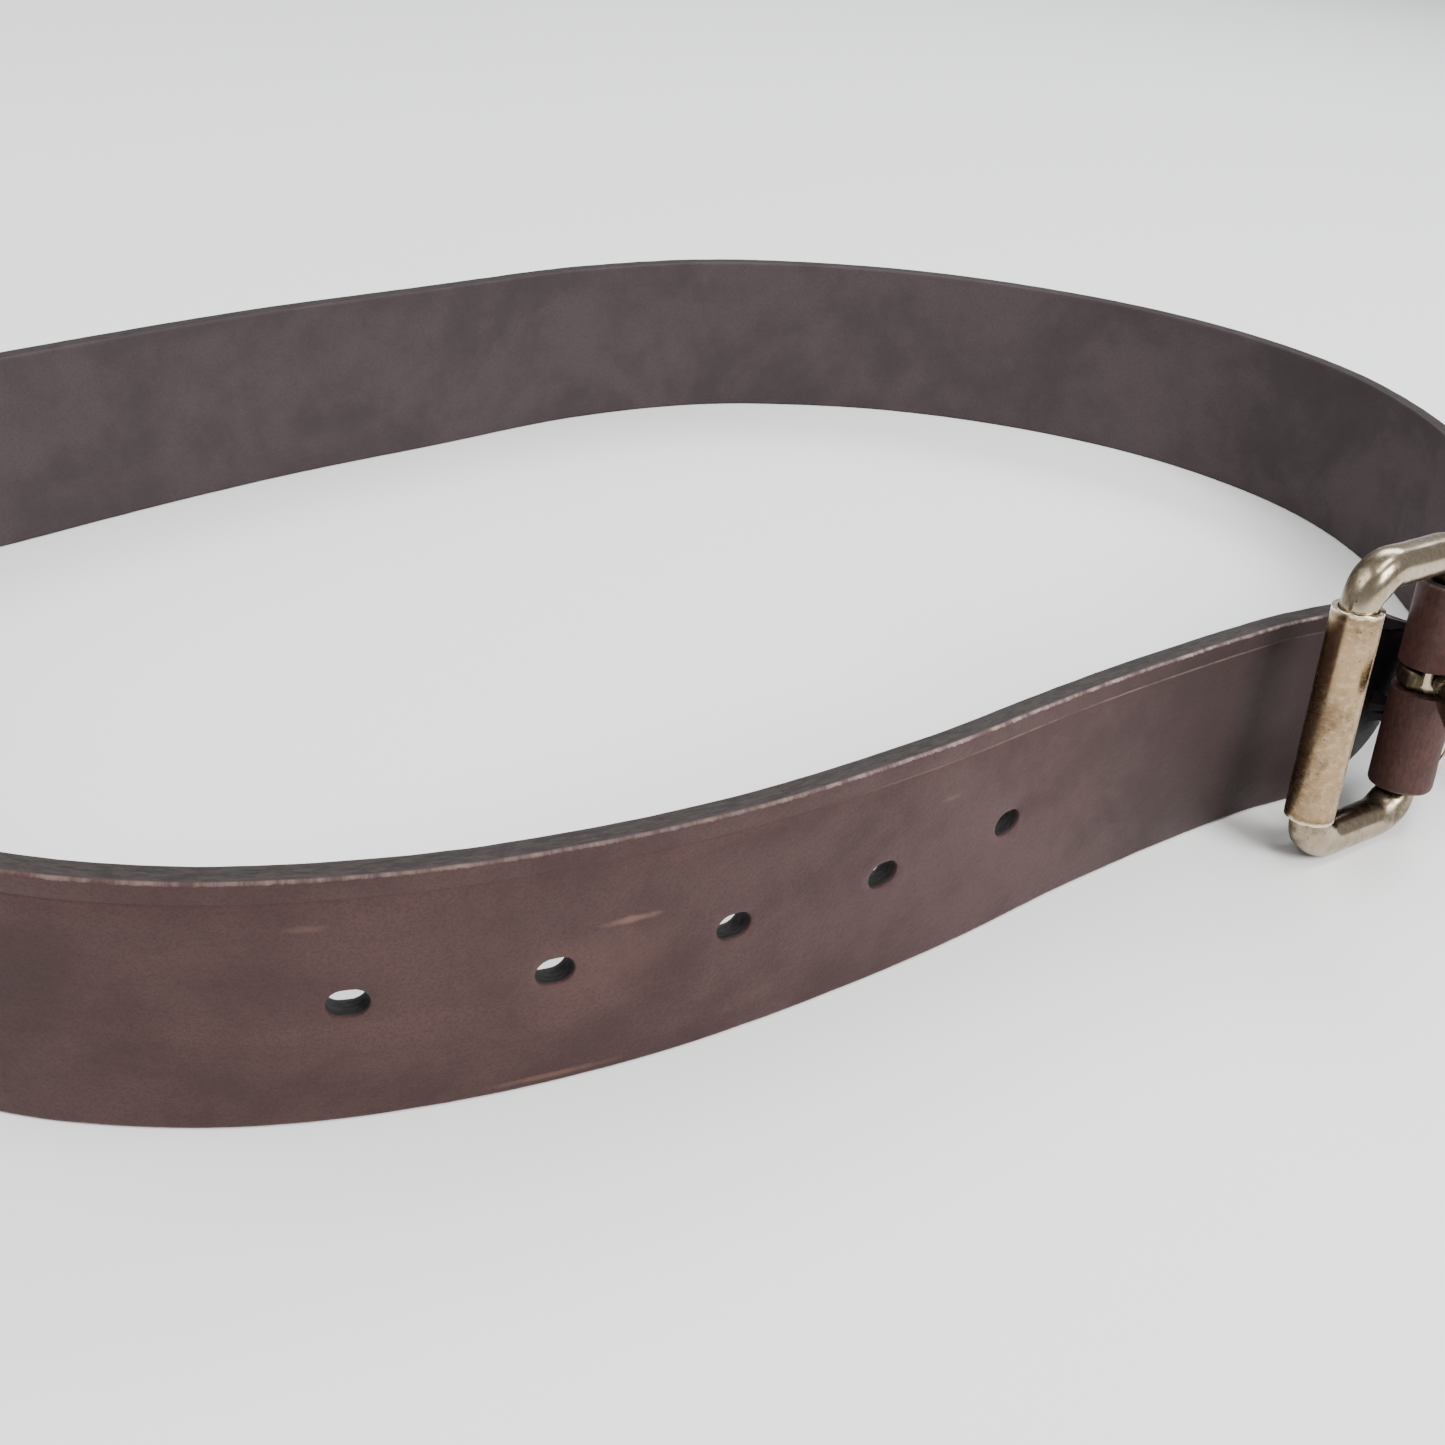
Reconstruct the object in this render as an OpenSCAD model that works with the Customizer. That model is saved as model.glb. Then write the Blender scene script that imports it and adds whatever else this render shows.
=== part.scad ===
// Leather belt with a heel-bar roller buckle, standing on the edges of its strap in one open loop.
// The strap is a ribbon that follows a route from the pointed tip, along the near side, round the
// left end, along the far side and round the right end to the buckle, where it folds over the
// heel bar and comes back on itself as a skived flap.

/* [Strap] */
// Width of the strap
strap_w = 38.1; // [36:0.1:40]
// Thickness of the strap
strap_t = 3.6; // [3:0.1:4]
// Length of the pointed part of the tip
tip_len = 37; // [30:1:45]
// Length of an oval prong hole along the strap
hole_len = 5.2; // [4.4:0.1:6]
// Height of an oval prong hole
hole_high = 4.2; // [3.6:0.1:4.4]
// Distance between prong holes
hole_pitch = 25.4; // [20:0.1:28]
// Number of prong holes
hole_count = 5; // [3:1:7]
// Distance from the tip to the nearest hole
hole_first = 117.8; // [105:0.2:125]

/* [Chape] */
// Direction of the folded end, counter-clockwise from +X
chape_dir = 60; // [58:1:62]
// Thickness of the leather where it is skived for the fold
skive_t = 2; // [1.6:0.1:2.2]
// Length of the straight folded end, measured from the heel bar
chape_len = 52; // [50:1:56]
// Length of the turned-back flap
flap_len = 50; // [46:1:52]
// Distance over which the fold closes up behind the heel bar
pinch_len = 10; // [9:0.5:12]
// Width of the prong slot in the fold
slot_w = 4.2; // [4:0.1:5]
// How far the prong slot runs behind the heel bar
slot_reach = 8; // [7:0.5:9]

/* [Buckle] */
// Radius of the cast bar
bar_r = 3.1; // [2.8:0.1:3.3]
// Heel bar to front bar, between axes
frame_d = 25; // [24:0.5:27]
// Lower bar to upper bar, between axes
frame_h = 49.5; // [49.5:0.5:52]
// Radius of the corners at the bar's axis
corner_r = 6.5; // [6:0.1:6.5]
// Outer radius of the roller
roller_r = 4.1; // [4:0.1:4.4]
// Length of the roller
roller_len = 38; // [34:0.5:38]
// Direction from the roller to the heel bar, counter-clockwise from +X
frame_dir = 37.4; // [36:0.2:39]
// Lean of the heel bar's top towards the inside of the loop
lean = 6.1; // [4:0.1:7]

/* [Prong] */
// Length of the prong from the heel bar's axis
prong_len = 28.6; // [28:0.1:29]
// Width of the prong's body
prong_w = 6.2; // [5:0.1:7]
// Width of the hook that goes round the heel bar
hook_w = 3.4; // [3:0.1:3.6]
// Angle between the prong and the frame at rest
prong_open = 42; // [36:1:48]

/* [Keeper] */
// Thickness of the keeper's leather
keeper_t = 2; // [1.6:0.1:2.2]
// Width of the keeper along the strap
keeper_w = 12; // [10:0.5:14]
// Distance from the heel bar to the keeper
keeper_at = 20; // [19:0.5:22]
// Room under the keeper for the strap's tip
keeper_room = 4.2; // [4:0.1:5]

/* [Binding screws] */
// Radius of a screw's or post's head
head_r = 4.75; // [4:0.05:5]
// Thickness of a head
head_t = 1.2; // [1:0.1:1.4]
// Outer radius of a post's barrel
post_r = 2.4; // [2.2:0.1:2.4]
// Distance of a screw from the strap's middle line
screw_side = 13; // [12:0.5:13]
// Distances of the two pairs of screws from the heel bar
screw_at = [6.2, 42]; // [5:0.1:45]

/* [Hidden] */
$fn = 48;
leather = [0.33, 0.26, 0.25];
keeper_leather = [0.30, 0.24, 0.23];
antique_brass = [0.66, 0.55, 0.42];
gilt = [0.62, 0.56, 0.48];
steel = [0.45, 0.45, 0.46];

// Clearances: running fit on a bar, leather round the bar, parts laid side by side, and the
// overrun of a cutting shape past the face that it cuts
fit_gap = 0.06;
fold_gap = 0.3;
rest_gap = 0.05;
cut = 1;

half_w = strap_w / 2;

// The heel bar's middle, with the frame's lower bar just clear of the table
heel_xy = [118.4, 246.9];
table_gap = 0.1;
heel_z = frame_h / 2 * cos(lean) + bar_r + table_gap;
heel = [heel_xy[0], heel_xy[1], heel_z];

// Unit vectors of the buckle: across the frame, outwards, and up along the heel bar
to_roller = [-cos(frame_dir), -sin(frame_dir), 0];
outwards = [sin(frame_dir) * cos(lean), -cos(frame_dir) * cos(lean), sin(lean)];
bar_up = cross(to_roller, outwards);

// Unit vectors of the chape: along it from the heel bar, and into the loop
chape_flat = [cos(chape_dir), sin(chape_dir), 0];
chape_along = unit(chape_flat - (chape_flat * bar_up) * bar_up);
chape_in = cross(bar_up, chape_along);

// Route of the strap's middle line in plan, from the tip to the start of the chape
main_y = -strap_t / 2 - rest_gap;
chape_start = heel + chape_len * chape_along + main_y * chape_in;
route = [
    [128.5, 281.5], [115, 260.5], [88.5, 241.8], [58.5, 216.8], [29, 189.7], [-1, 166.5], [-31, 150],
    [-60, 141], [-88, 141], [-115, 152], [-141, 170.5], [-162, 197], [-173, 229], [-164, 260.5], [-139, 295],
    [-109, 331], [-79, 361.5], [-49, 391.5], [-19, 412], [11, 422.5], [40, 427], [70, 425.5], [99, 418],
    [123.5, 404], [141, 385], [150.5, 361], [153, 335], [151, 311], [chape_start[0], chape_start[1]]
];
spans = len(route) - 1;
steps = 5;
chape_lead = 25;
before_tip = 2 * route[0] - route[1];
after_chape = route[spans] - chape_lead * [cos(chape_dir), sin(chape_dir)];

function unit(v) = v / norm(v);
function ease(t) = let (c = max(0, min(1, t))) c * c * (3 - 2 * c);
function point(i) = i < 0 ? before_tip : i > spans ? after_chape : route[i];
function spline(p, q, r, s, t) =
    0.5 * (2 * q + (r - p) * t + (2 * p - 5 * q + 4 * r - s) * t * t + (3 * q - p - 3 * r + s) * t * t * t);
function on_route(k) = let (i = min(spans - 1, floor(k / steps)), t = k / steps - i)
    spline(point(i - 1), point(i), point(i + 1), point(i + 2), t);

// Points along the route, and the length of strap from the tip to each of them
plan = [for (k = [0 : spans * steps]) on_route(k)];
last = len(plan) - 1;
legs = [for (k = [1 : last]) norm(plan[k] - plan[k - 1])];
function sums(v) = [for (i = 0, s = 0; i <= len(v); s = s + (i < len(v) ? v[i] : 0), i = i + 1) s];
run = sums(legs);
total = run[last];

// The folded end hangs on the heel bar, above the strap's own resting height, and leans with it.
// Both fade out along the strap over settle_len.
settle_len = 52;
lift_start = chape_start[2] - half_w;
slope_start = -chape_along[2];
lean_start = asin(chape_in * [0, 0, -1]);
function fade(k) = max(0, min(1, 1 - (total - run[k]) / settle_len));
function lift(k) = let (f = fade(k))
    lift_start * f * f * (3 - 2 * f) + slope_start * settle_len * f * f * (f - 1);
function way(k) = plan[min(last, k + 1)] - plan[max(0, k - 1)];
function rise(k) = let (a = max(0, k - 1), b = min(last, k + 1)) (lift(b) - lift(a)) / (run[b] - run[a]);
function heading(k) = k == last ? -[cos(chape_dir), sin(chape_dir)] : unit(way(k));

// Half the strap's width at a distance from the tip: full width, then a blunt point
tip_blunt = 0.04;
tip_power = 0.75;
function half_at(s) = s >= tip_len ? half_w : half_w * pow(max(s / tip_len, tip_blunt), tip_power);

// The tip's end is drawn in by the buckle, so it leans in a little too
tip_lean = 1.6;
tip_lean_end = 170;
tip_lean_fade = 60;
function tilt(k) = lean_start * ease(fade(k)) + tip_lean * ease((tip_lean_end - run[k]) / tip_lean_fade);

// A station is [middle, outward normal, up, thickness, half width]
function route_station(k) = let (
    h = heading(k),
    along = unit([h[0], h[1], rise(k)]),
    flat_out = [-h[1], h[0], 0],
    straight_up = cross(along, flat_out),
    tilt = tilt(k))
    [
        [plan[k][0], plan[k][1], half_w + lift(k) + strap_t / 2 * sin(tilt)],
        cos(tilt) * flat_out + sin(tilt) * straight_up,
        cos(tilt) * straight_up - sin(tilt) * flat_out,
        strap_t,
        half_at(run[k])
    ];

// The chape in its own plane: [distance behind the heel bar, distance into the loop, thickness]
fold_r = bar_r + fold_gap + skive_t / 2;
flap_y = skive_t / 2 + rest_gap;
function closed(a) = ease(a / pinch_len);
function main_layer(a) = let (c = closed(a))
    [a, -fold_r + (fold_r + main_y) * c, skive_t + (strap_t - skive_t) * c];
function flap_layer(a) = [a, fold_r + (flap_y - fold_r) * closed(a), skive_t];
function turn_layer(g) = [-fold_r * sin(g), -fold_r * cos(g), skive_t];
near_steps = 8;
near_len = 1.2 * pinch_len;
turn_steps = 12;
chape = concat(
    [for (a = [40 : -10 : 20]) main_layer(a)],
    [for (i = [near_steps : -1 : 0]) main_layer(i * near_len / near_steps)],
    [for (i = [1 : turn_steps - 1]) turn_layer(180 * i / turn_steps)],
    [for (i = [0 : near_steps]) flap_layer(i * near_len / near_steps)],
    [for (a = [20 : 10 : flap_len]) flap_layer(a)]
);
function in_chape(a, y, z) = heel + a * chape_along + y * chape_in + z * bar_up;
function chape_way(i) = let (a = chape[max(0, i - 1)], b = chape[min(len(chape) - 1, i + 1)])
    unit([b[0] - a[0], b[1] - a[1]]);
function chape_station(i) = let (p = chape[i], w = chape_way(i))
    [in_chape(p[0], p[1], 0), w[0] * chape_in - w[1] * chape_along, bar_up, p[2], half_w];

stations = concat(
    [for (k = [0 : last]) route_station(k)],
    [for (i = [0 : len(chape) - 1]) chape_station(i)]
);

// The whole belt is centred on the middle of its loop
xs = [for (s = stations) s[0][0] + s[1][0] * s[3] / 2];
ys = [for (s = stations) s[0][1] + s[1][1] * s[3] / 2];
centre = [-(min(xs) + max(xs)) / 2, -(min(ys) + max(ys)) / 2, 0];

function corners(s) = let (n = s[1] * s[3] / 2, u = s[2] * s[4])
    [s[0] + n - u, s[0] + n + u, s[0] - n + u, s[0] - n - u];
function side_faces(i) = [for (j = [0 : 3]) let (a = 4 * i + j, b = 4 * i + (j + 1) % 4)
    each [[a, b, b + 4], [a, b + 4, a + 4]]];

// A matrix that places a local frame with axes x, y, z at a point
function place(x, y, z, at) = [for (i = [0 : 2]) [x[i], y[i], z[i], at[i]]];

module on_bench() {
    translate(centre)
        children();
}

module in_buckle() {
    on_bench()
        multmatrix(place(to_roller, outwards, bar_up, heel))
            children();
}

module in_chape_frame() {
    on_bench()
        multmatrix(place(chape_along, chape_in, bar_up, heel))
            children();
}

// Places children at each binding screw, with +Z pointing out of the loop
module at_screw(a, side) {
    in_chape_frame()
        translate([a, 0, side * screw_side])
            rotate([90, 0, 0])
                children();
}

// Seats of the screw heads, measured from the chape's own plane along each screw
head_sink = 0.15;
function seat_out(a) = let (m = main_layer(a)) -m[1] + m[2] / 2 - head_sink;
function seat_in(a) = let (f = flap_layer(a)) f[1] + f[2] / 2 - head_sink;

function at_length(s) = [
    lookup(s, [for (k = [0 : last]) [run[k], plan[k][0]]]),
    lookup(s, [for (k = [0 : last]) [run[k], plan[k][1]]])
];

module ribbon() {
    count = len(stations);
    end = 4 * (count - 1);
    polyhedron(
        points = [for (s = stations) each corners(s)],
        faces = concat(
            [for (i = [0 : count - 2]) each side_faces(i)],
            [[0, 3, 2], [0, 2, 1], [end, end + 1, end + 2], [end, end + 2, end + 3]]
        )
    );
}

module oval(long, high, depth) {
    reach = (long - high) / 2;
    cube([2 * reach, high, depth], center = true);
    for (side = [-1, 1])
        translate([side * reach, 0, 0])
            cylinder(r = high / 2, h = depth, center = true);
}

module prong_holes() {
    for (i = [0 : hole_count - 1]) {
        s = hole_first + i * hole_pitch;
        p = at_length(s);
        w = at_length(s + hole_len / 2) - at_length(s - hole_len / 2);
        translate([p[0], p[1], half_w])
            rotate([0, 0, atan2(w[1], w[0])])
                rotate([90, 0, 0])
                    oval(hole_len, hole_high, strap_t + 2 * cut);
    }
}

// The hole for each post, and the seats that its heads press into the leather
seat_deep = 5;
module screw_seats() {
    for (a = screw_at, side = [-1, 1])
        at_screw(a, side) {
            cylinder(r = post_r + rest_gap, h = 4 * seat_deep, center = true);
            translate([0, 0, seat_out(a)])
                cylinder(r = head_r + rest_gap, h = seat_deep);
            translate([0, 0, -seat_in(a) - seat_deep])
                cylinder(r = head_r + rest_gap, h = seat_deep);
        }
}

module strap() {
    color(leather)
        difference() {
            on_bench() {
                difference() {
                    ribbon();
                    prong_holes();
                }
            }
            in_chape_frame()
                translate([-fold_r - skive_t, -fold_r - skive_t, prong_z - slot_w / 2])
                    cube([fold_r + skive_t + slot_reach, 2 * (fold_r + skive_t), slot_w]);
            screw_seats();
        }
}

// A closed round-cornered band: outer size, corner radius, in the YZ plane along +X
module band(y0, y1, z0, z1, r, length) {
    rotate([90, 0, 90])
        linear_extrude(height = length) {
            translate([y0 + r, z0])
                square([y1 - y0 - 2 * r, z1 - z0]);
            translate([y0, z0 + r])
                square([y1 - y0, z1 - z0 - 2 * r]);
            for (y = [y0 + r, y1 - r], z = [z0 + r, z1 - r])
                translate([y, z])
                    circle(r = r);
        }
}

// The keeper: a closed band round both layers of the chape, butted and stapled on its inner side
keeper_out = -strap_t - rest_gap - keeper_room;
keeper_in = 2 * flap_y + 0.25;
keeper_side = half_w + 0.35;
keeper_corner = 3;
keeper_inner_corner = 1;
joint_gap = 0.2;
staple_r = 0.4;
staple_half = 3.5;
staple_room = 0.03;

module keeper() {
    color(keeper_leather)
        in_chape_frame()
            translate([keeper_at, 0, 0])
                difference() {
                    band(keeper_out - keeper_t, keeper_in + keeper_t,
                        -keeper_side - keeper_t, keeper_side + keeper_t, keeper_corner, keeper_w);
                    translate([-cut, 0, 0])
                        band(keeper_out, keeper_in, -keeper_side, keeper_side,
                            keeper_inner_corner, keeper_w + 2 * cut);
                    translate([-cut, keeper_in - cut, -joint_gap / 2])
                        cube([keeper_w + 2 * cut, keeper_t + 2 * cut, joint_gap]);
                    staple_wire(staple_r + staple_room);
                }
}

// One wire staple: its crown lies on the keeper's inner side, across the butt joint
module staple_wire(r) {
    translate([keeper_w / 2, keeper_in + keeper_t + staple_r / 2, 0]) {
        cylinder(r = r, h = 2 * staple_half, center = true);
        for (side = [-1, 1])
            translate([0, 0, side * staple_half]) {
                sphere(r = r);
                rotate([90, 0, 0])
                    cylinder(r = r, h = keeper_t);
            }
    }
}

module keeper_staple() {
    color(steel)
        in_chape_frame()
            translate([keeper_at, 0, 0])
                staple_wire(staple_r);
}

// Binding screws: each post comes through from inside the loop, and its screw closes it outside
thread_r = post_r - 0.75;
end_gap = 0.3;
thread_start = 0.6;
slot_deep = 0.6;
slot_wide = 1.2;
module screw_posts() {
    color(gilt)
        for (a = screw_at, side = [-1, 1])
            at_screw(a, side)
                difference() {
                    union() {
                        translate([0, 0, -seat_in(a) - head_t])
                            cylinder(r = head_r, h = head_t);
                        translate([0, 0, -seat_in(a) - head_t / 2])
                            cylinder(r = post_r, h = seat_in(a) + seat_out(a) + head_t / 2 - end_gap);
                    }
                    translate([0, 0, -seat_in(a)])
                        cylinder(r = thread_r, h = seat_in(a) + seat_out(a) + cut);
                }
}

module screws() {
    color(gilt)
        for (a = screw_at, side = [-1, 1])
            at_screw(a, side)
                difference() {
                    union() {
                        translate([0, 0, seat_out(a)])
                            cylinder(r = head_r, h = head_t);
                        translate([0, 0, thread_start - seat_in(a)])
                            cylinder(r = thread_r - rest_gap, h = seat_in(a) + seat_out(a) + head_t / 2);
                    }
                    translate([-head_r - cut, -slot_wide / 2, seat_out(a) + head_t - slot_deep])
                        cube([2 * (head_r + cut), slot_wide, cut]);
                }
}

// A quarter turn of round bar, about a corner's centre, from +X to +Y
module bar_corner() {
    rotate_extrude(angle = 90)
        translate([corner_r, 0])
            circle(r = bar_r);
}

module buckle_frame() {
    long = frame_h - 2 * corner_r;
    short = frame_d - 2 * corner_r;
    color(antique_brass)
        in_buckle()
            translate([frame_d / 2, 0, 0])
                rotate([90, 0, 0])
                    for (turn = [0, 180])
                        rotate([0, 0, turn]) {
                            translate([frame_d / 2, 0, 0])
                                rotate([90, 0, 0])
                                    cylinder(r = bar_r, h = long, center = true);
                            translate([0, frame_h / 2, 0])
                                rotate([0, 90, 0])
                                    cylinder(r = bar_r, h = short, center = true);
                            translate([short / 2, long / 2, 0])
                                bar_corner();
                            translate([-short / 2, long / 2, 0])
                                rotate([0, 0, 90])
                                    bar_corner();
                        }
}

// Rolled from sheet round the front bar, with a butt seam that faces out of the loop
roller_gap = 0.09;
seam = 0.25;
seam_turn = 106;
module roller() {
    color(antique_brass)
        in_buckle()
            translate([frame_d, 0, 0])
                difference() {
                    cylinder(r = roller_r, h = roller_len, center = true);
                    cylinder(r = bar_r + roller_gap, h = roller_len + 2 * cut, center = true);
                    rotate([0, 0, seam_turn])
                        translate([0, -seam / 2, -roller_len / 2 - cut])
                            cube([roller_r + cut, seam, roller_len + 2 * cut]);
                }
}

// The prong: a hook round the heel bar, and a stout body that tapers to a blunt end
prong_z = 1.7;
hook_r = 5;
under = 0.35;
body_start = 9;
module prong() {
    half_hook = hook_w / 2;
    half_body = prong_w / 2;
    tip_from = prong_len - 1;
    side = [[3, 4.8], [8, 5.2], [18, 4.7], [tip_from, 3.7], [prong_len, 2.4], [tip_from + 0.6, 1],
        [tip_from - 0.6, under], [4.2, under]];
    edge = [[0, half_hook], [6.2, half_hook], [body_start, half_body], [tip_from - 1, half_body - 0.9],
        [prong_len, half_body - 2]];
    other_edge = [for (i = [len(edge) - 1 : -1 : 0]) [edge[i][0], -edge[i][1]]];
    color(antique_brass)
        in_buckle()
            rotate([0, 0, prong_open])
                translate([0, 0, prong_z]) {
                    difference() {
                        cylinder(r = hook_r, h = hook_w, center = true);
                        cylinder(r = bar_r + fit_gap, h = hook_w + 2 * cut, center = true);
                    }
                    intersection() {
                        linear_extrude(height = prong_w + cut, center = true)
                            polygon(side);
                        rotate([90, 0, 0])
                            linear_extrude(height = 4 * hook_r, center = true)
                                polygon(concat(edge, other_edge));
                    }
                }
}

strap();
keeper();
keeper_staple();
screw_posts();
screws();
buckle_frame();
roller();
prong();
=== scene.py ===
import math

import bmesh
import bpy
import numpy as np
from mathutils import Matrix, Vector, noise


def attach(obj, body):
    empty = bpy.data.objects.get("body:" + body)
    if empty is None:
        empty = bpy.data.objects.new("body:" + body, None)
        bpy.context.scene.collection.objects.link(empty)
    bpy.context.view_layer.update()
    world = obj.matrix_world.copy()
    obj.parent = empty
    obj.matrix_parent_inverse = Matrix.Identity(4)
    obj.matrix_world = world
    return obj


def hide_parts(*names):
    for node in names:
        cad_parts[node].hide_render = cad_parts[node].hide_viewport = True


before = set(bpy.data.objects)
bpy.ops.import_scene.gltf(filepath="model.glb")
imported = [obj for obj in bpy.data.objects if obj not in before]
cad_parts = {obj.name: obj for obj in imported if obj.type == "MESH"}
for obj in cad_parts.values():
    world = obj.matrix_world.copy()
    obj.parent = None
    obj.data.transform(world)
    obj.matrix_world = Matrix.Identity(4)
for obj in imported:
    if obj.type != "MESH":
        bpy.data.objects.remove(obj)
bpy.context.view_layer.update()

MM = 0.001


# ---- Strap ---------------------------------------------------------------------------------
# One piece of thick bridle leather, cut flat with a pointed tip, creased along its upper edge and
# punched with prong holes, a prong slot and screw holes. It stands on its edge in one loop, and
# its skived end folds round the heel bar and lies back against the inside as a flap.

strap_w, strap_t, skive_t = 38.1 * MM, 3.6 * MM, 2.0 * MM
half_w = strap_w / 2
tip_len = 37 * MM
bar_r, bar_lean, frame_turn = 3.1 * MM, math.radians(6.1), math.radians(37.4)
frame_h, frame_d, corner_r = 49.5 * MM, 25 * MM, 6.5 * MM
chape_turn, chape_len, pinch_len = math.radians(60), 52 * MM, 10 * MM
fold_r = bar_r + 0.3 * MM + skive_t / 2
screw_at, screw_side = (6.2 * MM, 42 * MM), 13 * MM
slot_middle, slot_reach, slot_w = 1.7 * MM, 8 * MM, 4.2 * MM

bend_steps, nose_steps, far_steps = 40, 32, 35
tip_blunt, tip_power, settle = 0.04, 0.75, 52 * MM
tip_lean, tip_lean_end, tip_lean_fade = math.radians(1.6), 170 * MM, 60 * MM

route = MM * np.array([
    (128.5, 281.5), (115, 260.5), (88.5, 241.8), (58.5, 216.8), (29, 189.7), (-1, 166.5), (-31, 150),
    (-60, 141), (-88, 141), (-115, 152), (-141, 170.5), (-162, 197), (-173, 229), (-164, 260.5),
    (-139, 295), (-109, 331), (-79, 361.5), (-49, 391.5), (-19, 412), (11, 422.5), (40, 427),
    (70, 425.5), (99, 418), (123.5, 404), (141, 385), (150.5, 361), (153, 335), (151, 311),
])


def unit(v):
    return v / np.linalg.norm(v, axis=-1, keepdims=True)


def ease(t):
    t = np.clip(t, 0, 1)
    return t * t * (3 - 2 * t)


# The buckle's and the chape's own directions, and the heel bar's middle
to_roller = np.array((-math.cos(frame_turn), -math.sin(frame_turn), 0))
outwards = np.array((math.sin(frame_turn) * math.cos(bar_lean), -math.cos(frame_turn) * math.cos(bar_lean),
                     math.sin(bar_lean)))
bar_up = np.cross(to_roller, outwards)
chape_flat = np.array((math.cos(chape_turn), math.sin(chape_turn), 0))
chape_along = unit(chape_flat - chape_flat @ bar_up * bar_up)
chape_in = np.cross(bar_up, chape_along)
heel = np.array((118.4 * MM, 246.9 * MM, frame_h / 2 * math.cos(bar_lean) + bar_r + 0.1 * MM))
main_y, flap_y = -strap_t / 2 - 0.05 * MM, skive_t / 2 + 0.05 * MM
chape_start = heel + chape_len * chape_along + main_y * chape_in


def smooth_route(points, per_span):
    """Catmull-Rom curve through the points, dense enough to bend the leather by."""
    chape_back = -chape_flat[:2] * 25 * MM
    p = np.vstack([2 * points[0] - points[1], points, points[-1] + chape_back])
    t = (np.arange(per_span) / per_span)[:, None]
    line = [0.5 * (2 * q + (r - a) * t + (2 * a - 5 * q + 4 * r - b) * t ** 2
                   + (3 * q - a - 3 * r + b) * t ** 3)
            for a, q, r, b in zip(p[:-3], p[1:-2], p[2:-1], p[3:])]
    return np.vstack(line + [points[-1]])


def bending_line():
    """Middle, outward normal and upward direction of the strap, its thickness and its half width."""
    plan = smooth_route(np.vstack([route, chape_start[:2]]), 24)
    run = np.concatenate([[0], np.cumsum(np.linalg.norm(np.diff(plan, axis=0), axis=1))])
    f = np.clip(1 - (run[-1] - run) / settle, 0, 1)
    lift = (chape_start[2] - half_w) * f * f * (3 - 2 * f) - chape_along[2] * settle * f * f * (f - 1)
    tilt = math.asin(-chape_in[2]) * ease(f) + tip_lean * ease((tip_lean_end - run) / tip_lean_fade)
    way = unit(np.gradient(plan, axis=0))
    along = unit(np.column_stack([way, np.gradient(lift, run)]))
    flat_out = np.column_stack([-way[:, 1], way[:, 0], 0 * run])
    straight_up = np.cross(along, flat_out)
    c, s = np.cos(tilt)[:, None], np.sin(tilt)[:, None]
    middle = np.column_stack([plan, half_w + lift + strap_t / 2 * np.sin(tilt)])
    pointed = (np.maximum(run, tip_blunt * tip_len) / tip_len) ** tip_power
    half = half_w * np.where(run > tip_len, 1, pointed)
    loop = middle, c * flat_out + s * straight_up, c * straight_up - s * flat_out, strap_t + 0 * run, half

    a = np.concatenate([np.arange(51, 16, -1.0), np.linspace(16, 0, bend_steps)]) * MM
    shut = ease(a / pinch_len)
    main = np.column_stack([a, -fold_r + (fold_r + main_y) * shut, skive_t + (strap_t - skive_t) * shut])
    g = np.linspace(0, math.pi, nose_steps + 1)[1:-1]
    nose = np.column_stack([-fold_r * np.sin(g), -fold_r * np.cos(g), skive_t + 0 * g])
    b = np.concatenate([np.linspace(0, 16, bend_steps), np.arange(17, 51, 1.0)]) * MM
    flap = np.column_stack([b, fold_r + (flap_y - fold_r) * ease(b / pinch_len), skive_t + 0 * b])
    path = np.vstack([main, nose, flap])
    w = unit(np.gradient(path[:, :2], axis=0))
    middle = heel + path[:, :1] * chape_along + path[:, 1:2] * chape_in
    out = w[:, :1] * chape_in - w[:, 1:] * chape_along
    chape = middle, out, bar_up + 0 * middle, path[:, 2], half_w + 0 * path[:, 0]
    return [np.concatenate(both) for both in zip(loop, chape)], len(plan)


(middle, out, up, thick, half), loop_count = bending_line()
length_at = np.concatenate([[0], np.cumsum(np.linalg.norm(np.diff(middle, axis=0), axis=1))])
edge_at = middle + out * thick[:, None] / 2
bench = -(edge_at.min(0) + edge_at.max(0)) / 2 * (1, 1, 0)
middle = middle + bench
heel = heel + bench
strap_len = length_at[-1]
fold_at = length_at[loop_count + far_steps + bend_steps - 1 + nose_steps // 2]


def place_in_chape(along, into, high):
    """A point of the folded end: distance behind the heel bar, into the loop, and up the bar."""
    return heel + along * chape_along + into * chape_in + high * bar_up


def length_of(along, side):
    """Where along the blank a point behind the heel bar lies, on the main layer or on the flap."""
    layer = slice(loop_count, None)
    reach = (middle[layer] - heel) @ chape_along
    into = (middle[layer] - heel) @ chape_in
    here = (into < 0) == (side == "main")
    return float(length_at[layer][here][np.argmin(abs(reach[here] - along))])


def bend(flat):
    """Carries points of the flat blank (along, across, thickness) onto the standing loop."""
    s, v, t = flat.T
    at = [np.column_stack([np.interp(s, length_at, part[:, i]) for i in range(3)])
          for part in (middle, out, up)]
    thin = np.interp(s, length_at, thick) / strap_t
    wide = np.interp(s, length_at, half) / half_w
    return at[0] + unit(at[1]) * (t * thin)[:, None] + unit(at[2]) * (v * wide)[:, None]


def mesh_object(name, bm):
    mesh = bpy.data.meshes.new(name)
    bm.to_mesh(mesh)
    bm.free()
    made = bpy.data.objects.new(name, mesh)
    bpy.context.scene.collection.objects.link(made)
    return made


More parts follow.
